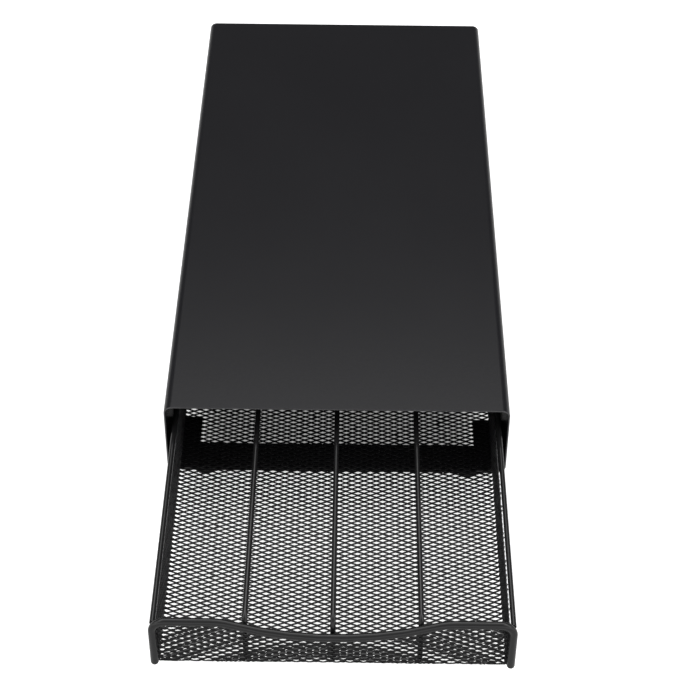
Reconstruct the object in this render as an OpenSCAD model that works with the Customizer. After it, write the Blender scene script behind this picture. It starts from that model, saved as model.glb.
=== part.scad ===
// Coffee pod drawer: a bent steel sleeve that a coffee machine stands on, with a
// sliding tray of expanded mesh under it. Three wires part the tray into four lanes.
// Origin: under the middle of the whole object with the tray drawn out, on the table.
// +X is the right side, +Y points to the back, +Z is up.

/* [Housing] */
// Overall width of the sleeve
housing_w = 190; // [170:1:220]
// Depth of the sleeve, front edge to back edge
housing_d = 400; // [340:5:440]
// Overall height, table to the top face
housing_h = 52; // [50:1:64]
// Thickness of the bent sheet and of the cross strips
sheet_t = 1; // [0.8:0.1:1.4]
// Outside radius of the two bends under the top face
top_bend_r = 4.5; // [3:0.5:8]
// Outside radius of the bends into the bottom tabs
bottom_bend_r = 4; // [2.5:0.5:6]
// Reach of a bottom tab, outer side face to its free edge
tab_w = 17; // [14:0.5:22]
// Length of a bottom tab along the side
tab_l = 42; // [30:1:60]

/* [Cross strips] */
// Width of a cross strip, front to back
strip_w = 21.5; // [17:0.5:28]
// Gap between the end of a strip and the outer side face
strip_inset = 6; // [5:0.5:9]
// Height of the stop lip at the back, above the tabs
stop_lip_h = 12; // [8:0.5:18]
// Outside radius of the bend between the rear strip and its stop lip
lip_bend_r = 2; // [1.6:0.1:3]

/* [Feet] */
// Diameter of a rubber foot
foot_d = 14; // [10:0.5:16]
// Height of a foot below the strip
foot_h = 4; // [3:0.5:6]
// Foot centre to the outer side face
foot_inset = 21; // [18:0.5:30]
// Rounding of a foot's lower rim
foot_round = 1; // [0.5:0.1:1.5]

/* [Drawer front] */
// Wire diameter of the front frame
frame_wire_d = 4.2; // [3.4:0.1:5]
// Height of the frame, leg tip to the top of the bar
frame_h = 34; // [30:0.5:38]
// Centre-line radius of the frame's two upper corners
frame_corner_r = 7; // [5:0.5:9]
// Height of the leg tips above the underside of the tray
leg_lift = 1.4; // [0.5:0.1:3]
// Width of the finger scoop in the top bar
scoop_w = 122; // [100:1:130]
// Depth of the finger scoop
scoop_depth = 11; // [7:0.5:14]
// Radius of the scoop's two shoulders
scoop_shoulder_r = 30; // [20:1:45]

/* [Drawer tray] */
// Clearance between the front frame and each side of the sleeve
side_gap = 2.3; // [1.5:0.1:4]
// Running clearance between the tray and the tabs that it slides on
floor_gap = 0.3; // [0.2:0.1:0.8]
// Gap left between the tray and the stop lip when shut
back_gap = 1; // [0.6:0.1:3]
// Wire diameter of the rim
rim_wire_d = 2.8; // [2.4:0.1:3.4]
// Height of the rim's centre line below the bar's
rim_drop = 3.4; // [2.5:0.1:5]
// Centre-line radius of the rim's two back corners
rim_corner_r = 7; // [4.5:0.5:12]
// Gap between the mesh walls and the rim
rim_gap = 0.3; // [0.2:0.1:0.5]
// Wire diameter of the lane dividers
divider_wire_d = 2.8; // [2.2:0.1:3.2]
// Centre-line radius of the bends at the ends of a divider
divider_bend_r = 5; // [3.5:0.5:8]
// Distance that the drawer is drawn out of the sleeve
drawn_out = 143.7; // [60:0.1:220]

/* [Expanded mesh] */
// Thickness of the mesh
mesh_t = 0.8; // [0.6:0.1:1.2]
// Outside radius of the fold between the floor and a wall
fold_r = 1.8; // [1.4:0.1:3]
// Pitch of the openings along their long diagonal
mesh_long = 19.5; // [16:0.5:26]
// Pitch of the openings along their short diagonal
mesh_short = 10.4; // [8:0.1:14]
// Width of a strand
strand_w = 2.4; // [1.6:0.1:3]
// Least width of the solid edge left round a panel of mesh
mesh_edge = 1; // [0.6:0.1:2]

/* [Hidden] */
$fn = 48;

// Sleeve, from the table up
half_w = housing_w / 2;
strip_z = foot_h;
tab_z = strip_z + sheet_t;
run_z = tab_z + sheet_t;
front_y = (drawn_out - housing_d) / 2;
back_y = front_y + housing_d;
strip_l = housing_w - 2 * strip_inset;
foot_x = half_w - foot_inset;

// Drawer, as drawn out; the bar's front is flush with the sleeve when it is shut
frame_y = front_y - drawn_out + frame_wire_d / 2;
leg_x = half_w - sheet_t - side_gap - frame_wire_d / 2;
tray_z = run_z + floor_gap;
leg_tip_z = tray_z + leg_lift;
bar_z = leg_tip_z + frame_h - frame_wire_d / 2;
rim_z = bar_z - rim_drop;
tray_front_y = frame_y + frame_wire_d / 2;
tray_back_y = back_y - sheet_t - back_gap - rim_wire_d - rim_gap - drawn_out;
tray_l = tray_back_y - tray_front_y;
tray_half_w = leg_x - rim_wire_d / 2 - rim_gap;
wall_top_z = rim_z + rim_wire_d / 4;
floor_top_z = tray_z + mesh_t;
rim_back_y = tray_back_y + rim_gap + rim_wire_d / 2;
lane_pitch = tray_half_w / 2;

// Scoop: two shoulder arcs and one long arc, tangent to each other
scoop_half = scoop_w / 2;
scoop_sum_r = (pow(scoop_half, 2) + pow(scoop_depth, 2)) / (2 * scoop_depth);
scoop_dip_r = scoop_sum_r - scoop_shoulder_r;
scoop_angle = asin(scoop_half / scoop_sum_r);
scoop_turn_x = scoop_dip_r * sin(scoop_angle);
scoop_turn_z = bar_z - scoop_depth + scoop_dip_r * (1 - cos(scoop_angle));
// Where two arcs meet: length left out in degrees times radius, and the ball's extra diameter
seam = 3;
seam_bead = 0.1;

steel = "#26272a";
rubber = "#141414";
mesh_steel = "#1d1e20";

// A wire along +Z from the origin. Each step is [length] or [bend radius, angle, roll]:
// a bend turns towards +X, after the wire is rolled about its own axis.
module wire(steps, d, i = 0) {
    if (i < len(steps)) {
        step = steps[i];
        if (len(step) == 1) {
            cylinder(d = d, h = step[0]);
            translate([0, 0, step[0]]) wire(steps, d, i + 1);
        } else {
            rotate([0, 0, step[2]]) translate([step[0], 0, 0]) {
                mirror([1, 0, 0]) rotate([90, 0, 0]) rotate_extrude(angle = step[1])
                    translate([step[0], 0]) circle(d = d);
                rotate([0, step[1], 0]) translate([-step[0], 0, 0]) rotate([0, 0, -step[2]])
                    wire(steps, d, i + 1);
            }
        }
    }
}

// Corner of a bent sheet in plan: a quarter ring in the first quadrant
module bend_section(outer_r, t) {
    intersection() {
        difference() {
            circle(r = outer_r);
            if (t < outer_r) circle(r = outer_r - t);
        }
        square(outer_r);
    }
}

// Right half of the sleeve's section, in X and Z, without the tab
module half_sleeve_section() {
    translate([0, housing_h - sheet_t]) square([half_w - top_bend_r, sheet_t]);
    translate([half_w - top_bend_r, housing_h - top_bend_r]) bend_section(top_bend_r, sheet_t);
    translate([half_w - sheet_t, tab_z + bottom_bend_r])
        square([sheet_t, housing_h - top_bend_r - tab_z - bottom_bend_r]);
    translate([half_w - bottom_bend_r, tab_z + bottom_bend_r])
        mirror([0, 1]) bend_section(bottom_bend_r, sheet_t);
}

// Extrudes a section drawn in X and Z along +Y
module along_y(length) {
    translate([0, length, 0]) rotate([90, 0, 0]) linear_extrude(height = length) children();
}

module both_sides() {
    children();
    mirror([1, 0, 0]) children();
}

module housing_shell() {
    tab_flat = tab_w - bottom_bend_r;
    color(steel) both_sides() {
        translate([0, front_y, 0]) along_y(housing_d) half_sleeve_section();
        for (y = [front_y, back_y - tab_l])
            translate([half_w - tab_w, y, tab_z]) cube([tab_flat, tab_l, sheet_t]);
    }
}

module front_cross_strip() {
    color(steel) translate([-strip_l / 2, front_y, strip_z]) cube([strip_l, strip_w, sheet_t]);
}

// The rear strip turns up between the tabs' free edges into a lip that stops the tray
module rear_cross_strip() {
    lip_l = housing_w - 2 * tab_w - 2 * sheet_t;
    color(steel) {
        translate([-strip_l / 2, back_y - strip_w, strip_z])
            cube([strip_l, strip_w - lip_bend_r, sheet_t]);
        translate([-lip_l / 2, back_y - lip_bend_r, strip_z + lip_bend_r]) rotate([90, 0, 90])
            linear_extrude(height = lip_l) mirror([0, 1]) bend_section(lip_bend_r, sheet_t);
        translate([-lip_l / 2, back_y - sheet_t, strip_z + lip_bend_r])
            cube([lip_l, sheet_t, run_z + stop_lip_h - strip_z - lip_bend_r]);
    }
}

module foot(x, y) {
    color(rubber) translate([x, y, 0]) rotate_extrude() {
        translate([0, foot_round]) square([foot_d / 2, foot_h - foot_round]);
        square([foot_d / 2 - foot_round, foot_round]);
        translate([foot_d / 2 - foot_round, foot_round]) intersection() {
            circle(r = foot_round);
            translate([0, -foot_round]) square(foot_round);
        }
    }
}

module foot_front_left() foot(-foot_x, front_y + foot_d / 2);
module foot_front_right() foot(foot_x, front_y + foot_d / 2);
module foot_rear_left() foot(-foot_x, back_y - foot_d / 2 - lip_bend_r);
module foot_rear_right() foot(foot_x, back_y - foot_d / 2 - lip_bend_r);

// One bent wire: round-ended legs, and a top bar that dips in the middle for a finger.
// The arcs of the dip stop short of each other inside a ball a hair larger than the wire.
module drawer_front_frame() {
    wire_r = frame_wire_d / 2;
    leg_l = bar_z - frame_corner_r - leg_tip_z - wire_r;
    flat_l = leg_x - frame_corner_r - scoop_half;
    shoulder_angle = scoop_angle - seam / scoop_shoulder_r;
    dip_angle = scoop_angle - seam / scoop_dip_r;
    steps = [[frame_corner_r, 90, 0], [flat_l], [scoop_shoulder_r, shoulder_angle, 0]];
    color(steel) translate([0, frame_y, 0]) {
        both_sides() {
            translate([-leg_x, 0, bar_z - frame_corner_r]) wire(steps, frame_wire_d);
            translate([-leg_x, 0, leg_tip_z + wire_r]) rotate_extrude() {
                square([wire_r, leg_l]);
                mirror([0, 1]) bend_section(wire_r, wire_r);
            }
            translate([-scoop_turn_x, 0, scoop_turn_z]) sphere(d = frame_wire_d + seam_bead);
        }
        translate([0, 0, bar_z - scoop_depth + scoop_dip_r]) rotate([90, 0, 0])
            rotate([0, 0, -90 - dip_angle]) rotate_extrude(angle = 2 * dip_angle)
                translate([scoop_dip_r, 0]) circle(d = frame_wire_d);
    }
}

// One bent wire along both sides and the back, butted to the back of the front frame
module drawer_rim_wire() {
    side_l = rim_back_y - rim_corner_r - tray_front_y;
    steps = [
        [side_l], [rim_corner_r, 90, 0], [2 * (leg_x - rim_corner_r)],
        [rim_corner_r, 90, 0], [side_l]
    ];
    color(steel) translate([-leg_x, tray_front_y, rim_z]) rotate([-90, 0, 0])
        wire(steps, rim_wire_d);
}

// A divider stands on the floor at both ends and runs level with the rim between them
module divider_wire(x) {
    front = tray_front_y + mesh_t + divider_wire_d / 2;
    back = tray_back_y - mesh_t - divider_wire_d / 2;
    post_l = rim_z - divider_bend_r - floor_top_z;
    steps = [
        [post_l], [divider_bend_r, 90, 90], [back - front - 2 * divider_bend_r],
        [divider_bend_r, 90, 90], [post_l]
    ];
    color(steel) translate([x, front, floor_top_z]) wire(steps, divider_wire_d);
}

module divider_wire_left() divider_wire(-lane_pitch);
module divider_wire_centre() divider_wire(0);
module divider_wire_right() divider_wire(lane_pitch);

// Diamond openings of expanded metal, staggered row by row, centred on a w by h panel.
// Only whole openings are cut, so that every strand ends in the panel's edge.
module diamonds(w, h) {
    hole_half_l = mesh_long / 2 - strand_w;
    hole_half_s = hole_half_l * mesh_short / mesh_long;
    rows = floor((h - 2 * mesh_edge - 2 * hole_half_s) / mesh_short);
    columns = floor((w - 2 * mesh_edge - 2 * hole_half_l) / mesh_long);
    for (row = [-rows : rows]) {
        odd = abs(row + rows) % 2;
        for (column = [0 : columns - odd])
            translate([(column - (columns - odd) / 2) * mesh_long, row * mesh_short / 2])
                polygon([[-hole_half_l, 0], [0, -hole_half_s], [hole_half_l, 0], [0, hole_half_s]]);
    }
}

module mesh_floor() {
    w = 2 * (tray_half_w - fold_r);
    l = tray_l - 2 * fold_r;
    color(mesh_steel) translate([0, (tray_front_y + tray_back_y) / 2, tray_z])
        linear_extrude(height = mesh_t) difference() {
            square([w, l], center = true);
            diamonds(w, l);
        }
}

// A wall of mesh standing on its fold, along +X, with its outer face at y = 0.
// The flat part is longer than the fold by lap at each end, to meet the next wall.
module mesh_wall(length, height, lap) {
    flat_h = height - fold_r;
    translate([0, mesh_t, tray_z + fold_r + flat_h / 2]) rotate([90, 0, 0])
        linear_extrude(height = mesh_t) difference() {
            square([length + 2 * lap, flat_h], center = true);
            diamonds(length, flat_h);
        }
    translate([-length / 2, fold_r, tray_z + fold_r]) rotate([90, 0, 90])
        linear_extrude(height = length) rotate(180) bend_section(fold_r, mesh_t);
}

// The walls are cut down at the tray's back corners, to clear the bend of the rim
module rim_corner_cuts() {
    cut_l = rim_corner_r - rim_wire_d / 2 - rim_gap;
    cut_z = rim_z - rim_wire_d / 2 - rim_gap;
    both_sides() translate([tray_half_w - cut_l, tray_back_y - cut_l, cut_z]) cube(2 * cut_l);
}

module side_wall() {
    difference() {
        translate([tray_half_w, (tray_front_y + tray_back_y) / 2, 0]) rotate([0, 0, 90])
            mesh_wall(tray_l - 2 * fold_r, wall_top_z - tray_z, fold_r);
        rim_corner_cuts();
    }
}

module mesh_wall_right() color(mesh_steel) side_wall();
module mesh_wall_left() color(mesh_steel) mirror([1, 0, 0]) side_wall();

module mesh_wall_back() {
    color(mesh_steel) difference() {
        translate([0, tray_back_y, 0]) rotate([0, 0, 180])
            mesh_wall(2 * (tray_half_w - fold_r), wall_top_z - tray_z, fold_r - mesh_t);
        rim_corner_cuts();
    }
}

// The space that the scoop takes out of the front wall, above the bar's centre line
module scoop_section() {
    intersection() {
        translate([0, bar_z - scoop_depth + scoop_dip_r]) circle(r = scoop_dip_r, $fn = 96);
        translate([-scoop_turn_x, bar_z - scoop_depth])
            square([2 * scoop_turn_x, 2 * scoop_depth]);
    }
    for (side = [-1, 1]) difference() {
        translate([side * (scoop_turn_x + scoop_half) / 2, bar_z])
            square([scoop_half - scoop_turn_x, 2 * scoop_depth], center = true);
        translate([side * scoop_half, bar_z - scoop_shoulder_r]) circle(r = scoop_shoulder_r, $fn = 96);
    }
}

module mesh_wall_front() {
    color(mesh_steel) difference() {
        translate([0, tray_front_y, 0])
            mesh_wall(2 * (tray_half_w - fold_r), bar_z - tray_z, fold_r - mesh_t);
        translate([0, tray_front_y - mesh_t, 0]) along_y(3 * mesh_t) scoop_section();
    }
}

housing_shell();
front_cross_strip();
rear_cross_strip();
foot_front_left();
foot_front_right();
foot_rear_left();
foot_rear_right();
drawer_front_frame();
drawer_rim_wire();
mesh_floor();
mesh_wall_front();
mesh_wall_back();
mesh_wall_left();
mesh_wall_right();
divider_wire_left();
divider_wire_centre();
divider_wire_right();
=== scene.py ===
import math
from types import SimpleNamespace

import bmesh
import bpy
from mathutils import Matrix, Vector, noise


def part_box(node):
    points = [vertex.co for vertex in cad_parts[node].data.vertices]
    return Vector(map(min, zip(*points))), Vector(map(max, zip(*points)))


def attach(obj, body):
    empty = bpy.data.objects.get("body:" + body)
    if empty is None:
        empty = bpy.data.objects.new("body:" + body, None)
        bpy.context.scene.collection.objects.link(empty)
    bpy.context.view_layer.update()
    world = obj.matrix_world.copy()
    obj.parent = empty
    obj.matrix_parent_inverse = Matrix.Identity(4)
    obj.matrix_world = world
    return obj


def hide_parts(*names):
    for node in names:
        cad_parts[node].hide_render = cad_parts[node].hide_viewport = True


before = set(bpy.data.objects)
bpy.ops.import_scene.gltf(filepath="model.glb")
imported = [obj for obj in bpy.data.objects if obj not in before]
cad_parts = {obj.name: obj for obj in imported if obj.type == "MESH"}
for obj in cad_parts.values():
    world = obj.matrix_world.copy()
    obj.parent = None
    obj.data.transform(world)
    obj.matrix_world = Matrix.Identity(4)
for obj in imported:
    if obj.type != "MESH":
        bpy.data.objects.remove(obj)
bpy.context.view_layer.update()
mm = 0.001
hair = 0.001 * mm   # points closer than this are one
near = 0.01 * mm    # places closer than this count as the same
print("frame loaded,", len(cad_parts), "nodes")


# camera, floor and light

cameraSet = {
    "place": (7.8, -867.3, 741.3),   # millimetres
    "turn": 0.074, "down": 41.16, "roll": 0.61,   # degrees
    "lens": 95.12, "sensor": 36.0,
    "clipEnd": 50.0,   # metres
}


def addCamera():
    data = bpy.data.cameras.new("camera")
    data.sensor_width = cameraSet["sensor"]
    data.lens = cameraSet["lens"]
    data.clip_end = cameraSet["clipEnd"]
    camera = bpy.data.objects.new("camera", data)
    turn = Matrix.Rotation(math.radians(cameraSet["turn"]), 4, "Z")
    tip = Matrix.Rotation(math.radians(90 - cameraSet["down"]), 4, "X")
    roll = Matrix.Rotation(math.radians(cameraSet["roll"]), 4, "Z")
    camera.matrix_world = Matrix.Translation(Vector(cameraSet["place"]) * mm) @ turn @ tip @ roll
    bpy.context.scene.collection.objects.link(camera)
    bpy.context.scene.camera = camera


class Signal:
    # a socket that can stand in a sum, so that shader maths reads as plain Python
    def __init__(self, tree, socket):
        self.tree = tree
        self.socket = socket

    def pick(self, name):
        return Signal(self.tree, self.socket.node.outputs[name])

    def sum(self, operation, first, second=0.0):
        return self.tree.add("Math", {"operation": operation}, {0: first, 1: second})

    def size(self):
        return self.sum("ABSOLUTE", self)

    def larger(self, other):
        return self.sum("MAXIMUM", self, other)

    def __add__(self, other):
        return self.sum("ADD", self, other)

    def __radd__(self, other):
        return self.sum("ADD", other, self)

    def __sub__(self, other):
        return self.sum("SUBTRACT", self, other)

    def __rsub__(self, other):
        return self.sum("SUBTRACT", other, self)

    def __mul__(self, other):
        return self.sum("MULTIPLY", self, other)

    def __rmul__(self, other):
        return self.sum("MULTIPLY", other, self)


class NodeTree:
    # the nodes of one material or world
    def __init__(self, owner):
        owner.use_nodes = True
        self.nodes = owner.node_tree.nodes
        self.links = owner.node_tree.links
        self.nodes.clear()

    def add(self, kind, settings=None, sockets=None, output=0):
        node = self.nodes.new("ShaderNode" + kind)
        for name, value in (settings or {}).items():
            if name == "stops":
                self.setStops(node.color_ramp, value)
            else:
                setattr(node, name, value)
        for name, value in (sockets or {}).items():
            if isinstance(value, Signal):
                self.links.new(value.socket, node.inputs[name])
            else:
                node.inputs[name].default_value = value
        return Signal(self, node.outputs[output]) if len(node.outputs) else node

    def blend(self, share, first, second):
        # a colour Mix has its two colours at 6 and 7 and its result at 2
        return self.add("Mix", {"data_type": "RGBA"}, {0: share, 6: first, 7: second}, output=2)

    def setStops(self, ramp, stops):
        while len(ramp.elements) < len(stops):
            ramp.elements.new(1.0)
        for element, (position, value) in zip(ramp.elements, stops):
            element.position = position
            element.color = (value, value, value, 1)


skySet = {
    # sine of the height above the horizon, and how bright the studio is there
    "behind": [
        (0.0, 0.25), (0.22, 0.2), (0.3, 0.05), (0.52, 0.05), (0.60, 0.0), (0.66, 0.1),
        (0.71, 1.25), (0.76, 2.1), (0.84, 1.9), (0.94, 1.7), (1.0, 1.0),
    ],
    "before": [(0.0, 1.0), (0.35, 0.9), (0.55, 0.5), (0.76, 0.3), (0.9, 0.3), (1.0, 0.6)],
    "turnover": 1.2,     # how fast the one side gives way to the other, from front to back
    "halfway": 0.4,      # share of the side behind straight overhead
    "whiteBelow": 0.2,   # the camera sees plain white below this height
    "strength": 1.3,
}


def addWorld():
    world = bpy.data.worlds.new("studio")
    bpy.context.scene.world = world
    tree = NodeTree(world)
    direction = tree.add("SeparateXYZ", {}, {0: tree.add("TexCoord", output="Generated")})
    height = direction.pick("Z")
    share = tree.add(
        "Math", {"operation": "MULTIPLY_ADD", "use_clamp": True},
        {0: direction.pick("Y"), 1: skySet["turnover"], 2: skySet["halfway"]},
    )
    behind, before = (
        tree.add("ValToRGB", {"stops": skySet[side]}, {"Fac": height}) for side in ("behind", "before")
    )
    level = tree.blend(share, before, behind)
    light = tree.add("Background", {}, {"Color": level, "Strength": skySet["strength"]})
    white = tree.add("Background", {}, {"Color": (1, 1, 1, 1), "Strength": 1.0})
    camera = tree.add("LightPath", output="Is Camera Ray")
    low = tree.add("Math", {"operation": "LESS_THAN"}, {0: height, 1: skySet["whiteBelow"]})
    shown = tree.add("MixShader", {}, {0: camera * low, 1: light, 2: white})
    tree.add("OutputWorld", {}, {"Surface": shown})


floorSet = {
    "size": 12.0, "colour": 0.6,
    "glow": 0.85, "mirrorGlow": 0.1,   # how far it is lifted towards white, seen straight on and in a gloss
    # shade and the two edges paint a shadow under the sleeve: the lift is cut down there seen straight on,
    # and taken away in a gloss
    "shade": 0.35,                     # share of that lift left under the sleeve, seen straight on
    "shadeEdge": (-0.03, 0.002),       # from where to where the shade ends, in metres outside the sleeve
    "mirrorEdge": (0.0, 0.006),        # and in a gloss, which sees none of the lift under the sleeve
}


def addFloor():
    bm = bmesh.new()
    bmesh.ops.create_grid(bm, x_segments=1, y_segments=1, size=floorSet["size"] / 2)
    mesh = bpy.data.meshes.new("floor")
    bm.to_mesh(mesh)
    bm.free()
    floor = bpy.data.objects.new("floor", mesh)
    bpy.context.scene.collection.objects.link(floor)
    material = bpy.data.materials.new("paleFloor")
    tree = NodeTree(material)
    low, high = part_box("housing_shell")
    place = tree.add("SeparateXYZ", {}, {0: tree.add("TexCoord", output="Object")})
    gapX = (place.pick("X") - (low.x + high.x) / 2).size() - (high.x - low.x) / 2
    gapY = (place.pick("Y") - (low.y + high.y) / 2).size() - (high.y - low.y) / 2
    # painted shadow: masks from the sleeve's outline cut the floor's lift down under it
    clear, mirrorClear = (
        tree.add("MapRange", {"interpolation_type": "SMOOTHSTEP"}, {
            "Value": gapX.larger(gapY),
            "From Min": edge[0], "From Max": edge[1], "To Min": inside, "To Max": 1.0,
        })
        for edge, inside in ((floorSet["shadeEdge"], floorSet["shade"]), (floorSet["mirrorEdge"], 0.0))
    )
    camera = tree.add("LightPath", output="Is Camera Ray")
    mirrored = (
        tree.add("LightPath", output="Is Glossy Ray") + tree.add("LightPath", output="Is Transmission Ray")
    )
    seen = camera * clear * floorSet["glow"] + mirrored * mirrorClear * floorSet["mirrorGlow"]
    grey = floorSet["colour"]
    matt = tree.add("BsdfDiffuse", {}, {"Color": (grey, grey, grey, 1)})
    glow = tree.add("Emission", {}, {"Color": (1, 1, 1, 1), "Strength": seen})
    tree.add("OutputMaterial", {}, {"Surface": tree.add("AddShader", {}, {0: matt, 1: glow})})
    mesh.materials.append(material)


lampSets = {
    # place and target in metres, size in metres, power in watts
    "left": {"place": (-1.6, -0.3, 1.4), "target": (0.0, 0.0, 0.0), "size": (1.6, 1.6), "power": 6},
    "right": {"place": (1.6, -0.3, 1.4), "target": (0.0, 0.0, 0.0), "size": (1.6, 1.6), "power": 9},
}


def addLamps():
    for name, lamp in lampSets.items():
        data = bpy.data.lights.new(name, "AREA")
        data.shape = "RECTANGLE"
        data.size, data.size_y = lamp["size"]
        data.energy = lamp["power"]
        light = bpy.data.objects.new(name, data)
        place = Vector(lamp["place"])
        aim = (place - Vector(lamp["target"])).to_track_quat("Z", "Y")
        light.matrix_world = Matrix.Translation(place) @ aim.to_matrix().to_4x4()
        bpy.context.scene.collection.objects.link(light)


bpy.context.scene.view_settings.view_transform = "Standard"
addCamera()
addWorld()
addFloor()
addLamps()
print("camera, floor and lights placed")


# finishes

coatSets = {
    # darkest colour and how many times lighter the lightest is, size of its specks and their contrast,
    # gloss, roughness and its spread, orange peel size and depth; all sizes in millimetres
    "housingCoat": {
        "colour": (0.0107, 0.0106, 0.0122), "lighter": 1.5, "speck": 0.29, "contrast": 0.5,
        "gloss": 0.3, "rough": 0.22, "spread": 0.04, "peel": 0.9, "depth": 0.010,
    },
    "wireCoat": {
        "colour": (0.009, 0.009, 0.0094), "lighter": 1.5, "speck": 0.29, "contrast": 0.5,
        "gloss": 0.45, "rough": 0.16, "spread": 0.05, "peel": 0.7, "depth": 0.010,
    },
    "meshCoat": {
        "colour": (0.007, 0.007, 0.0074), "lighter": 1.5, "speck": 0.29, "contrast": 0.5,
        "gloss": 0.17, "rough": 0.32, "spread": 0.08, "peel": 0.5, "depth": 0.010,
    },
    "edgePaintedHighlight": {   # painted highlight: the cut edges of the sheet are made much lighter, standing in for the light line along them
        "colour": (0.09, 0.09, 0.092), "lighter": 1.3, "speck": 0.29, "contrast": 0.5,
        "gloss": 0.6, "rough": 0.3, "spread": 0.05, "peel": 0.9, "depth": 0.010,
    },
    "cutEdgePaintedMottle": {   # on the cut edges of the strands: blotches up to nine times lighter, painted light and shade standing in for how the wall strands catch light and shade one another; partly an uneven, thinner coat
        "colour": (0.006, 0.006, 0.0063), "lighter": 9.0, "speck": 1.3, "contrast": 4.0,
        "gloss": 0.8, "rough": 0.28, "spread": 0.08, "peel": 0.9, "depth": 0.15,
    },
}
grainSet = {
    # the same for every coat
    "cloud": 14.0,      # scale of the slow change in roughness
    "average": 0.5,     # of a noise
    "paleShare": 0.25,  # how much of the lightest colour an average speck has
    "bump": 0.5,        # strength of the relief
    "speckBump": 0.4,   # how much the specks add to the orange peel
}


def powderCoat(name):
    coat = coatSets[name]
    material = bpy.data.materials.new(name)
    tree = NodeTree(material)
    place = tree.add("TexCoord", output="Object")
    peel = tree.add("TexNoise", {}, {"Vector": place, "Scale": 1 / (coat["peel"] * mm), "Detail": 2.0})
    cloud = tree.add("TexNoise", {}, {"Vector": place, "Scale": grainSet["cloud"], "Detail": 3.0})
    speck = tree.add("TexNoise", {}, {"Vector": place, "Scale": 1 / (coat["speck"] * mm), "Detail": 1.0})
    average = grainSet["average"]
    rough = coat["rough"] + (cloud - average) * coat["spread"] + (speck - average) * coat["spread"]
    lightest = [part * coat["lighter"] for part in coat["colour"]]
    pale = (speck - average) * coat["contrast"] + grainSet["paleShare"]
    colour = tree.blend(pale, (*coat["colour"], 1), (*lightest, 1))
    relief = peel + speck * grainSet["speckBump"]
    bump = tree.add(
        "Bump", {}, {"Strength": grainSet["bump"], "Distance": coat["depth"] * mm, "Height": relief}
    )
    surface = tree.add(
        "BsdfPrincipled", {},
        {"Base Color": colour, "Roughness": rough, "Normal": bump, "Specular IOR Level": coat["gloss"]},
    )
    tree.add("OutputMaterial", {}, {"Surface": surface})
    return material


rubberSet = {
    "dark": (0.008, 0.008, 0.008), "dusty": (0.022, 0.021, 0.02),
    "grain": 2200.0, "dust": 160.0,   # noise scales
    "bump": 0.6, "depth": 0.03,       # strength of the relief, and its depth in millimetres
    "rough": 0.68, "spread": 0.15,    # roughness, and how much the dust adds
}


def footRubber():
    material = bpy.data.materials.new("footRubber")
    tree = NodeTree(material)
    place = tree.add("TexCoord", output="Object")
    grain = tree.add("TexNoise", {}, {"Vector": place, "Scale": rubberSet["grain"], "Detail": 3.0})
    dust = tree.add("TexNoise", {}, {"Vector": place, "Scale": rubberSet["dust"], "Detail": 4.0})
    colour = tree.blend(dust, (*rubberSet["dark"], 1), (*rubberSet["dusty"], 1))
    rough = rubberSet["rough"] + dust * rubberSet["spread"]
    bump = tree.add(
        "Bump", {}, {"Strength": rubberSet["bump"], "Distance": rubberSet["depth"] * mm, "Height": grain}
    )
    surface = tree.add("BsdfPrincipled", {}, {"Base Color": colour, "Roughness": rough, "Normal": bump})
    tree.add("OutputMaterial", {}, {"Surface": surface})
    return material


finishes = {name: powderCoat(name) for name in coatSets}
finishes["footRubber"] = footRubber()
print("finishes made:", ", ".join(finishes))


def addPiece(name, bm, finish, body, nodes=(), sharp=40.0, weighted=True, second=None):
    # turns a bmesh into a finished piece; edges sharper than sharp degrees stay crisp
    bmesh.ops.recalc_face_normals(bm, faces=bm.faces[:])
    mesh = bpy.data.meshes.new(name)
    bm.to_mesh(mesh)
    bm.free()
    mesh.shade_smooth()
    mesh.set_sharp_from_angle(angle=math.radians(sharp))
    mesh.materials.append(finishes[finish])
    if second:
        mesh.materials.append(finishes[second])
    piece = bpy.data.objects.new(name, mesh)
    bpy.context.scene.collection.objects.link(piece)
    if weighted:
        even = piece.modifiers.new("evenShade", "WEIGHTED_NORMAL")
        even.keep_sharp = True
    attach(piece, body)
    if nodes:
        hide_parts(*nodes)
    return piece


def movedOut(drawn):
    # the new points and edges of an extrusion
    points = [item for item in drawn["geom"] if isinstance(item, bmesh.types.BMVert)]
    edges = [item for item in drawn["geom"] if isinstance(item, bmesh.types.BMEdge)]
    return points, [edge for edge in edges if all(point in points for point in edge.verts)]


def extrudeBy(bm, edges, move):
    points, front = movedOut(bmesh.ops.extrude_edge_only(bm, edges=edges))
    bmesh.ops.translate(bm, verts=points, vec=move)
    return front


def bendEdges(bm, edges, radius, segments=8):
    bmesh.ops.bevel(
        bm, geom=edges, offset=radius, offset_type="OFFSET", segments=segments, profile=0.5,
        affect="EDGES", clamp_overlap=True, material=-1,
    )


def roundCorners(bm, corners, radius):
    bmesh.ops.bevel(
        bm, geom=corners, offset=radius, offset_type="OFFSET", segments=5, profile=0.5,
        affect="VERTICES", clamp_overlap=True, material=-1,
    )


def thicken(bm, thickness, cutEdge, inside, crease=60):
    # thickens a sheet towards the point inside, then takes the sharpness off its cut edges,
    # which turn by more than crease degrees
    bmesh.ops.recalc_face_normals(bm, faces=bm.faces[:])
    widest = max(bm.faces, key=lambda face: face.calc_area())
    if widest.normal.dot(Vector(inside) - widest.calc_center_median()) > 0:
        bmesh.ops.reverse_faces(bm, faces=bm.faces[:])
    bmesh.ops.solidify(bm, geom=bm.faces[:], thickness=thickness)
    rims = [edge for edge in bm.edges if edge.is_manifold and edge.calc_face_angle() > math.radians(crease)]
    bendEdges(bm, rims, cutEdge, segments=3)


# sleeve, strips and feet

housingSet = {
    "sheet": 1.0, "topBend": 4.5, "bottomBend": 4.0,
    "tabWidth": 17.0, "tabLength": 42.0, "cutEdge": 0.4,
    "squareOn": 0.9,   # a face that looks this squarely to the front or back is a cut edge
}


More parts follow.
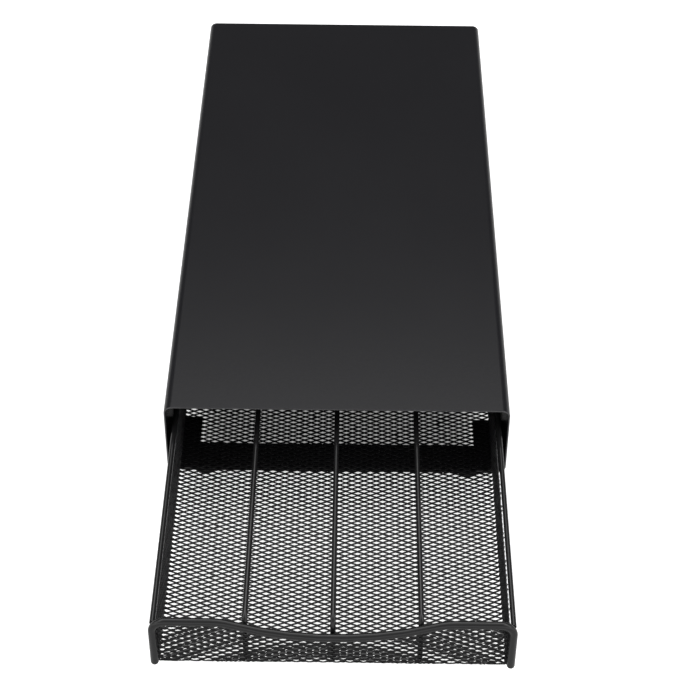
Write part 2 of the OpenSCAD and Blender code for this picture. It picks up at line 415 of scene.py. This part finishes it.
def makeHousing():
    low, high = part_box("housing_shell")
    tab = housingSet["tabWidth"] * mm
    tabLength = housingSet["tabLength"] * mm
    bm = bmesh.new()
    profile = [
        (low.x + tab, low.z), (low.x, low.z), (low.x, high.z),
        (high.x, high.z), (high.x, low.z), (high.x - tab, low.z),
    ]
    points = [bm.verts.new((x, low.y, z)) for x, z in profile]
    edges = [bm.edges.new(pair) for pair in zip(points, points[1:])]
    for length in (tabLength, high.y - low.y - 2 * tabLength, tabLength):
        edges = extrudeBy(bm, edges, (0, length, 0))
    for z, radius in ((high.z, housingSet["topBend"]), (low.z, housingSet["bottomBend"])):
        long = [
            edge for edge in bm.edges
            if all(abs(abs(p.co.x) - high.x) < near and abs(p.co.z - z) < near for p in edge.verts)
        ]
        bendEdges(bm, long, radius * mm)
    middle = [
        face for face in bm.faces
        if abs(face.calc_center_median().z - low.z) < near
        and abs(face.calc_center_median().y - (low.y + high.y) / 2) < tabLength
    ]
    bmesh.ops.delete(bm, geom=middle, context="FACES")
    thicken(bm, housingSet["sheet"] * mm, housingSet["cutEdge"] * mm, (low + high) / 2)
    bm.normal_update()
    # the cut edges, whose faces look squarely to the front or back, get the second finish, a painted
    # highlight
    for face in bm.faces:
        face.material_index = 1 if abs(face.normal.y) > housingSet["squareOn"] else 0
    addPiece("sleeve", bm, "housingCoat", "housing", ["housing_shell"], second="edgePaintedHighlight")


stripSet = {
    "sheet": 1.0, "corner": 2.5, "cutEdge": 0.2,
    "lipBend": 2.0, "lipInset": 12.0,   # of the lip at the back, from each end of the strip
}


def makeFrontStrip():
    low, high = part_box("front_cross_strip")
    bm = bmesh.new()
    points = [bm.verts.new((x, low.y, low.z)) for x in (low.x, high.x)]
    front = [bm.edges.new(points)]
    extrudeBy(bm, front, (0, high.y - low.y, 0))
    roundCorners(bm, bm.verts[:], stripSet["corner"] * mm)
    thicken(bm, stripSet["sheet"] * mm, stripSet["cutEdge"] * mm, (0, low.y, 1))
    addPiece("front_strip", bm, "housingCoat", "housing", ["front_cross_strip"])


def makeRearStrip():
    low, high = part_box("rear_cross_strip")
    lipHalf = high.x - stripSet["lipInset"] * mm
    bm = bmesh.new()
    points = [bm.verts.new((x, low.y, low.z)) for x in (low.x, -lipHalf, lipHalf, high.x)]
    edges = [bm.edges.new(pair) for pair in zip(points, points[1:])]
    back = extrudeBy(bm, edges, (0, high.y - low.y - stripSet["lipBend"] * mm, 0))
    outer = [p for p in bm.verts if abs(p.co.x) > lipHalf + mm]
    lipEdge = [edge for edge in back if abs(sum(p.co.x for p in edge.verts)) < mm]
    lipEdge = extrudeBy(bm, lipEdge, (0, stripSet["lipBend"] * mm, 0))
    top = extrudeBy(bm, lipEdge, (0, 0, high.z - low.z))
    tips = [p for edge in top for p in edge.verts]
    bendEdges(bm, lipEdge, stripSet["lipBend"] * mm, segments=6)
    roundCorners(bm, [p for p in outer + tips if p.is_valid], stripSet["corner"] * mm)
    thicken(bm, stripSet["sheet"] * mm, stripSet["cutEdge"] * mm, (0, low.y, 1))
    addPiece("rear_strip", bm, "housingCoat", "housing", ["rear_cross_strip"])


footSet = {
    "rim": 1.0, "dish": 0.5, "round": 0.35, "sides": 40,
    "topShare": 0.96, "dishShare": 0.62, "flatShare": 0.5,   # shares of the foot's radius
    "crease": 25,   # edges that turn by more degrees are rounded
}


def makeFoot(node):
    low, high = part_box(node)
    middle = (low + high) / 2
    radius = (high.x - low.x) / 2
    bm = bmesh.new()
    # half section from the top centre, down the side, to the dished underside
    rim = footSet["rim"] * mm
    dish = low.z + footSet["dish"] * mm
    section = [
        (0, high.z), (radius * footSet["topShare"], high.z), (radius, low.z + rim), (radius - rim, low.z),
        (radius * footSet["dishShare"], low.z), (radius * footSet["flatShare"], dish), (0, dish),
    ]
    points = [bm.verts.new((middle.x + out, middle.y, z)) for out, z in section]
    edges = [bm.edges.new(pair) for pair in zip(points, points[1:])]
    bmesh.ops.spin(
        bm, geom=points + edges, cent=middle, axis=(0, 0, 1), angle=2 * math.pi,
        steps=footSet["sides"], use_merge=True,
    )
    bmesh.ops.remove_doubles(bm, verts=bm.verts[:], dist=hair)
    crease = math.radians(footSet["crease"])
    rings = [edge for edge in bm.edges if edge.is_manifold and edge.calc_face_angle() > crease]
    bendEdges(bm, rings, footSet["round"] * mm, segments=3)
    addPiece(node + "_rubber", bm, "footRubber", "housing", [node])


makeHousing()
makeFrontStrip()
makeRearStrip()
for footNode in ("foot_front_left", "foot_front_right", "foot_rear_left", "foot_rear_right"):
    makeFoot(footNode)
print("sleeve, strips and feet made")


# wires

wireSet = {
    "sides": 20,
    "bendStep": 6.0, "fewestSteps": 3,   # degrees of one step in a bend, and how few a bend may have
    "endRings": 5, "endAngle": 80,       # rings of a rounded end, and where it is cut flat, in degrees
}


def turned(place, radius, angle):
    # the place at the end of a bend that turns from Z towards X
    return (
        place @ Matrix.Translation((radius, 0, 0)) @ Matrix.Rotation(angle, 4, "Y")
        @ Matrix.Translation((-radius, 0, 0))
    )


def drawWire(bm, place, steps, radius):
    # steps: (length,) or (bend radius, angle, roll), as the wire runs along its own Z
    ring = bmesh.ops.create_circle(bm, segments=wireSet["sides"], radius=radius, matrix=place)
    edges = list({edge for point in ring["verts"] for edge in point.link_edges})
    first = edges
    start = place.copy()
    for step in steps:
        if len(step) == 1:
            edges = extrudeBy(bm, edges, place.to_3x3() @ Vector((0, 0, step[0])))
            place = place @ Matrix.Translation((0, 0, step[0]))
            continue
        bend, angle, roll = step
        place = place @ Matrix.Rotation(roll, 4, "Z")
        turns = max(wireSet["fewestSteps"], round(math.degrees(angle) / wireSet["bendStep"]))
        spun = bmesh.ops.spin(
            bm, geom=edges + list({p for edge in edges for p in edge.verts}),
            cent=place @ Vector((bend, 0, 0)), axis=place.to_3x3() @ Vector((0, 1, 0)), angle=angle,
            steps=turns, use_merge=False,
        )
        edges = [item for item in spun["geom_last"] if isinstance(item, bmesh.types.BMEdge)]
        place = turned(place, bend, angle) @ Matrix.Rotation(-roll, 4, "Z")
    return (first, start), (edges, place)


def closeEnd(bm, end, radius, outwards, domed):
    # shuts one end of a wire, rounded or cut square
    edges, place = end
    axis = place.to_3x3() @ Vector((0, 0, outwards))
    centre = place.translation.copy()
    rings = wireSet["endRings"] if domed else 0
    for ring in range(1, rings + 1):
        before, after = (math.radians(wireSet["endAngle"]) * k / rings for k in (ring - 1, ring))
        move = axis * radius * (math.sin(after) - math.sin(before))
        edges = extrudeBy(bm, edges, move)
        centre += move
        points = list({p for edge in edges for p in edge.verts})
        share = math.cos(after) / math.cos(before)
        bmesh.ops.scale(bm, vec=(share,) * 3, verts=points, space=Matrix.Translation(-centre))
    bmesh.ops.edgeloop_fill(bm, edges=edges)


def makeWire(name, node, place, steps, radius, domed=False):
    bm = bmesh.new()
    start, end = drawWire(bm, place, steps, radius)
    closeEnd(bm, start, radius, -1, domed)
    closeEnd(bm, end, radius, 1, domed)
    addPiece(name, bm, "wireCoat", "drawer", [node], weighted=False)


frontSet = {"wire": 4.2, "corner": 7.0, "scoop": 122.0, "depth": 11.0, "shoulder": 30.0}


def scoopArcs():
    # radius of the long arc and the angle that each arc turns
    half = frontSet["scoop"] / 2
    both = (half ** 2 + frontSet["depth"] ** 2) / (2 * frontSet["depth"])
    return both - frontSet["shoulder"], math.asin(half / both)


def barHeight(x, legX, barZ):
    # height of the top bar's centre line over x, in metres
    dip, angle = scoopArcs()
    dip, half, shoulder = dip * mm, frontSet["scoop"] / 2 * mm, frontSet["shoulder"] * mm
    corner = frontSet["corner"] * mm
    x = abs(x)
    if x > legX - corner:
        return barZ - corner + math.sqrt(max(0.0, corner ** 2 - (x - legX + corner) ** 2))
    if x >= half:
        return barZ
    if x > dip * math.sin(angle):
        return barZ - shoulder + math.sqrt(shoulder ** 2 - (half - x) ** 2)
    return barZ - frontSet["depth"] * mm + dip - math.sqrt(dip ** 2 - x ** 2)


def makeFrontFrame():
    low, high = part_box("drawer_front_frame")
    radius = frontSet["wire"] / 2 * mm
    corner = frontSet["corner"] * mm
    dip, angle = scoopArcs()
    legX = high.x - radius
    leg = high.z - radius - corner - low.z - radius
    flat = legX - corner - frontSet["scoop"] / 2 * mm
    shoulder = (frontSet["shoulder"] * mm, angle, 0)
    quarter = (corner, math.pi / 2, 0)
    steps = [
        (leg,), quarter, (flat,), shoulder, (dip * mm, 2 * angle, math.pi),
        shoulder, (flat,), quarter, (leg,),
    ]
    place = Matrix.Translation((-legX, (low.y + high.y) / 2, low.z + radius))
    makeWire("front_frame", "drawer_front_frame", place, steps, radius, domed=True)


rimSet = {"corner": 7.0}


def makeRim():
    low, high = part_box("drawer_rim_wire")
    radius = (high.z - low.z) / 2
    corner = rimSet["corner"] * mm
    side = high.y - radius - corner - low.y
    across = 2 * (high.x - radius - corner)
    quarter = (corner, math.pi / 2, 0)
    steps = [(side,), quarter, (across,), quarter, (side,)]
    start = Matrix.Translation((-high.x + radius, low.y, (low.z + high.z) / 2))
    place = start @ Matrix.Rotation(-math.pi / 2, 4, "X")
    makeWire("rim_wire", "drawer_rim_wire", place, steps, radius)


dividerSet = {"bend": 5.0}


def makeDivider(node):
    low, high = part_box(node)
    radius = (high.x - low.x) / 2
    bend = dividerSet["bend"] * mm
    post = high.z - radius - bend - low.z
    along = high.y - low.y - 2 * radius - 2 * bend
    over = (bend, math.pi / 2, math.pi / 2)
    steps = [(post,), over, (along,), over, (post,)]
    place = Matrix.Translation(((low.x + high.x) / 2, low.y + radius, low.z))
    makeWire(node + "_rod", node, place, steps, radius)


makeFrontFrame()
makeRim()
for dividerNode in ("divider_wire_left", "divider_wire_centre", "divider_wire_right"):
    makeDivider(dividerNode)
print("wires made")


# tray of expanded metal, one sheet that is folded up at its four sides

traySet = {
    # sizes in millimetres, angles in degrees
    "long": 6.818, "short": 3.233,    # pitch of the openings, along and across the strands
    "phase": (-1.27, -1.04),          # place of one opening
    "bow": 0.00035, "skew": 0.0028,   # how the rows of openings curve and lean over the sheet
    "spare": (2, 8),        # columns and rows laid beyond the sheet, which are cut off
    "whole": 0.8,           # a diamond with this share of its area is opened in full
    "part": 0.42,           # and one with this share in part; less stays closed
    "partStrand": 0.75,     # how wide the strands round such a part are, against the others
    "strand": 0.39,         # from the middle line of a strand to its edge
    "farthest": 3.2,        # an edge point farther out than this many strands is drawn in
    "steep": 4,             # at a joint it lies at least this much more along the sheet than across
    "bond": 0.43,           # how much wider a joint of two strands is
    "body": 0.1,            # and how much a strand is between two joints
    "tilt": 38.0,           # how far each strand leans
    "sideTilt": 32.0,       # and in the side walls
    "bondTilt": -12.0,      # and each joint, the other way
    "wobble": 40.0,         # how much the lean differs from strand to strand
    "wobbleSize": 3.0,      # and over what distance
    "highest": 0.42,        # an edge comes no farther than this out of the sheet
    "sideHighest": 0.6,     # or in a side wall
    "thickness": 0.3,       # of the sheet
    "fold": 0.9,            # outside radius where the sheet is folded up
    "lift": 0.15,           # from the outside of a wall to the middle of its sheet
    "rest": 0.3,            # from the underside of the tray to the middle of the floor's sheet
    "cornerCut": (7, 4),    # how far inside the folds the cuts of the corners reach
    "underBar": 0.3,        # a diamond that lies wholly above this far under the bar is left out
    "shy": 0.5,             # how far short of the legs' middle the front flap ends
    "aside": -0.25,         # the tray sits a little to the left between the wires
    "sharp": 50.0,          # edges of the mesh that turn by more stay crisp
}


def planTray():
    # the sheet's pitch, its outline when flat, and the lines where it is folded and cut
    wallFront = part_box("mesh_wall_front")[0].y
    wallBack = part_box("mesh_wall_back")[1].y
    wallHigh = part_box("mesh_wall_right")[1]
    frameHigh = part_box("drawer_front_frame")[1]
    plan = SimpleNamespace(long=traySet["long"] * mm, short=traySet["short"] * mm)
    plan.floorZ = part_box("mesh_floor")[0].z
    plan.frontTop = frameHigh.z - frontSet["wire"] / 2 * mm
    plan.legX = frameHigh.x - frontSet["wire"] / 2 * mm
    plan.fold = traySet["fold"] * mm - traySet["lift"] * mm   # radius of the middle of the sheet
    plan.arc = plan.fold * math.pi / 2
    plan.bendZ = plan.floorZ + traySet["fold"] * mm
    plan.halfW = wallHigh.x - traySet["fold"] * mm
    plan.halfL = (wallBack - wallFront) / 2 - traySet["fold"] * mm
    plan.middleY = (wallBack + wallFront) / 2
    plan.side = plan.halfW + plan.arc + wallHigh.z - plan.bendZ
    plan.back = plan.halfL + plan.arc + wallHigh.z - plan.bendZ
    plan.front = plan.halfL + plan.arc + plan.frontTop - plan.bendZ
    plan.endW = plan.halfW + traySet["fold"] * mm - 2 * traySet["thickness"] * mm
    plan.endL = plan.halfL + traySet["fold"] * mm - 2 * traySet["thickness"] * mm
    plan.flapW = plan.legX - traySet["shy"] * mm
    plan.flapY = -plan.halfL - plan.arc
    return plan


def layLattice(plan):
    # flat lattice of diamonds, as the sheet is before it is folded
    spareColumns, spareRows = traySet["spare"]
    columns = 2 * math.ceil(plan.side / plan.long) + spareColumns
    rows = 2 * math.ceil(plan.front / plan.short) + spareRows
    bm = bmesh.new()
    bmesh.ops.create_grid(bm, x_segments=columns, y_segments=rows, size=0.5)
    ruled = bm.edges[:]
    bmesh.ops.poke(bm, faces=bm.faces[:])
    bmesh.ops.dissolve_edges(bm, edges=[edge for edge in ruled if not edge.is_boundary], use_verts=False)
    aside, along = (value * mm for value in traySet["phase"])
    for point in bm.verts:
        u = point.co.x * columns * plan.long + aside
        bend = traySet["bow"] * u * u / mm + traySet["skew"] * u
        point.co = (u, (point.co.y * rows + 0.5) * plan.short + along + bend, 0)
    borders = (
        ((plan.side, 0, 0), (1, 0, 0)), ((-plan.side, 0, 0), (-1, 0, 0)),
        ((0, plan.back, 0), (0, 1, 0)), ((0, -plan.front, 0), (0, -1, 0)),
    )
    for cut, normal in borders:
        geom = bm.verts[:] + bm.edges[:] + bm.faces[:]
        bmesh.ops.bisect_plane(bm, geom=geom, dist=hair, plane_co=cut, plane_no=normal, clear_outer=True)
    return bm


def trimSheet(bm, plan):
    # the four corners are cut out; the front flap runs behind the legs and follows the bar
    nearX = plan.halfW - traySet["cornerCut"][0] * mm
    nearY = plan.halfL - traySet["cornerCut"][1] * mm

    def inCorner(face):
        centre = face.calc_center_median()
        return abs(centre.x) > nearX and abs(centre.y) > nearY

    def isOutside(face):
        centre = face.calc_center_median()
        wide = plan.flapW if centre.y < plan.flapY else plan.endW
        return abs(centre.x) > wide and abs(centre.y) > plan.endL

    def reach(point):
        return plan.flapY - barHeight(point.co.x, plan.legX, plan.frontTop) + plan.bendZ

    cuts = [((x, 0, 0), (1, 0, 0)) for x in (plan.endW, -plan.endW, plan.flapW, -plan.flapW)]
    cuts += [((0, y, 0), (0, 1, 0)) for y in (plan.endL, -plan.endL, plan.flapY)]
    for cut, normal in cuts:
        corner = [face for face in bm.faces if inCorner(face)]
        edges = list({edge for face in corner for edge in face.edges})
        points = list({point for face in corner for point in face.verts})
        bmesh.ops.bisect_plane(bm, geom=corner + edges + points, dist=hair, plane_co=cut, plane_no=normal)
    bmesh.ops.delete(bm, geom=[face for face in bm.faces if isOutside(face)], context="FACES")

    slack = traySet["underBar"] * mm
    above = [face for face in bm.faces if all(p.co.y <= reach(p) + slack for p in face.verts)]
    bmesh.ops.delete(bm, geom=above, context="FACES")
    for point in bm.verts:
        if point.co.y < plan.flapY:
            point.co.y = max(point.co.y, reach(point))


def openDiamonds(bm, plan):
    # each diamond gets its opening; slivers at the borders stay closed
    cell = plan.long * plan.short / 2
    ring = bm.verts.layers.int.new("ring")   # 1 round an opening, 0 along the middle of a strand
    full = traySet["whole"] * cell
    whole = [face for face in bm.faces if face.calc_area() > full]
    part = [face for face in bm.faces if traySet["part"] * cell < face.calc_area() <= full]
    for faces, share in ((whole, 1.0), (part, traySet["partStrand"])):
        wide = traySet["strand"] * mm * share
        bmesh.ops.inset_individual(bm, faces=faces, thickness=wide, use_even_offset=True)
    for face in whole + part:
        for point in face.verts:
            point[ring] = 1
    bmesh.ops.delete(bm, geom=whole + part, context="FACES_ONLY")
    strandEdges = [edge for edge in bm.edges if edge.verts[0][ring] == edge.verts[1][ring]]
    bmesh.ops.subdivide_edges(bm, edges=strandEdges, cuts=1, use_grid_fill=True)
    return ring


def leanStrands(bm, ring, plan):
    # widens the joints, and tips each strand so that its edges stand out of the sheet
    strand = traySet["strand"] * mm
    for point in [p for p in bm.verts if p[ring]]:
        middle = next(e.other_vert(point) for e in point.link_edges if not e.other_vert(point)[ring])
        onSide = abs(middle.co.x) > plan.halfW
        lean = traySet["sideTilt"] if onSide else traySet["tilt"]
        lean += traySet["wobble"] * noise.noise(middle.co / traySet["wobbleSize"] / mm)
        off = point.co - middle.co
        if off.length > traySet["farthest"] * strand:
            point.co = middle.co + off.normalized() * strand
        elif abs(off.y) > traySet["steep"] * abs(off.x):
            point.co.y += math.copysign(traySet["bond"] * mm, off.y)
            lean = traySet["bondTilt"]
        elif abs(off.y) > abs(off.x):
            point.co.y += math.copysign(traySet["body"] * mm, off.y)
        rise = math.tan(math.radians(lean)) * (point.co.y - middle.co.y)
        highest = traySet["sideHighest" if onSide else "highest"] * mm
        point.co.z = max(-highest, min(highest, rise))


def sectionOf(centre, plan):
    # which piece this part of the sheet goes to, as its place in the list of makeTray
    if centre.y < plan.flapY or (centre.y < -plan.halfL and abs(centre.x) < plan.endW):
        return 2
    if centre.y > plan.halfL and abs(centre.x) < plan.endW:
        return 3
    if abs(centre.x) > plan.halfW:
        return 4 if centre.x < 0 else 5
    return 0 if centre.x < 0 else 1


def folded(distance, half, plan):
    # place across, rise, and the direction that the sheet faces, past a fold
    over = abs(distance) - half
    sign = math.copysign(1, distance)
    if over <= 0:
        return distance, 0.0, 0.0, 1.0
    angle = min(over / plan.fold, math.pi / 2)
    rise = plan.fold * (1 - math.cos(angle)) + max(0.0, over - plan.arc)
    return sign * (half + plan.fold * math.sin(angle)), rise, -sign * math.sin(angle), math.cos(angle)


def foldUp(bm, plan):
    for point in bm.verts:
        onFlap = point.co.y < plan.flapY + near   # the flap stays flat to its ends
        x, riseX, faceX, upX = folded(point.co.x, plan.side if onFlap else plan.halfW, plan)
        y, riseY, faceY, upY = folded(point.co.y, plan.halfL, plan)
        proud = point.co.z
        point.co = (
            x + proud * faceX + traySet["aside"] * mm,
            plan.middleY + y + proud * faceY,
            plan.floorZ + traySet["rest"] * mm + max(riseX, riseY) + proud * min(upX, upY),
        )


def thickenLace(bm, thickness):
    # half the thickness to each side, straight along each point's normal
    bm.normal_update()
    facing = bm.verts.layers.float_vector.new("facing")
    for point in bm.verts:
        point[facing] = point.normal
    over = set(bm.faces)
    geom = bm.verts[:] + bm.edges[:] + bm.faces[:]
    under = bmesh.ops.extrude_face_region(bm, geom=geom, use_keep_orig=True)["geom"]
    # the cut edges get the second finish, with its blotches of painted light and shade
    for face in over.union(under).symmetric_difference(bm.faces):
        if isinstance(face, bmesh.types.BMFace):
            face.material_index = 1   # a cut edge
    for point in bm.verts:
        point.co += point[facing] * thickness / 2
    for point in under:
        if isinstance(point, bmesh.types.BMVert):
            point.co -= point[facing] * thickness


def makeTray():
    plan = planTray()
    bm = layLattice(plan)
    trimSheet(bm, plan)
    print("lattice ready,", len(bm.faces), "openings")
    ring = openDiamonds(bm, plan)
    leanStrands(bm, ring, plan)
    for face in bm.faces:
        face.material_index = sectionOf(face.calc_center_median(), plan)
    foldUp(bm, plan)
    sections = [
        ("mesh_floor_left_half", ["mesh_floor"]), ("mesh_floor_right_half", []),
        ("mesh_front", ["mesh_wall_front"]), ("mesh_back", ["mesh_wall_back"]),
        ("mesh_left", ["mesh_wall_left"]), ("mesh_right", ["mesh_wall_right"]),
    ]
    for index, (name, nodes) in enumerate(sections):
        section = bm.copy()
        other = [face for face in section.faces if face.material_index != index]
        bmesh.ops.delete(section, geom=other, context="FACES")
        for face in section.faces:
            face.material_index = 0
        thickenLace(section, traySet["thickness"] * mm)
        piece = addPiece(
            name, section, "meshCoat", "drawer", nodes,
            sharp=traySet["sharp"], weighted=False, second="cutEdgePaintedMottle",
        )
        print(name, len(piece.data.polygons) * 2, "triangles")
    bm.free()


makeTray()
print("tray made")
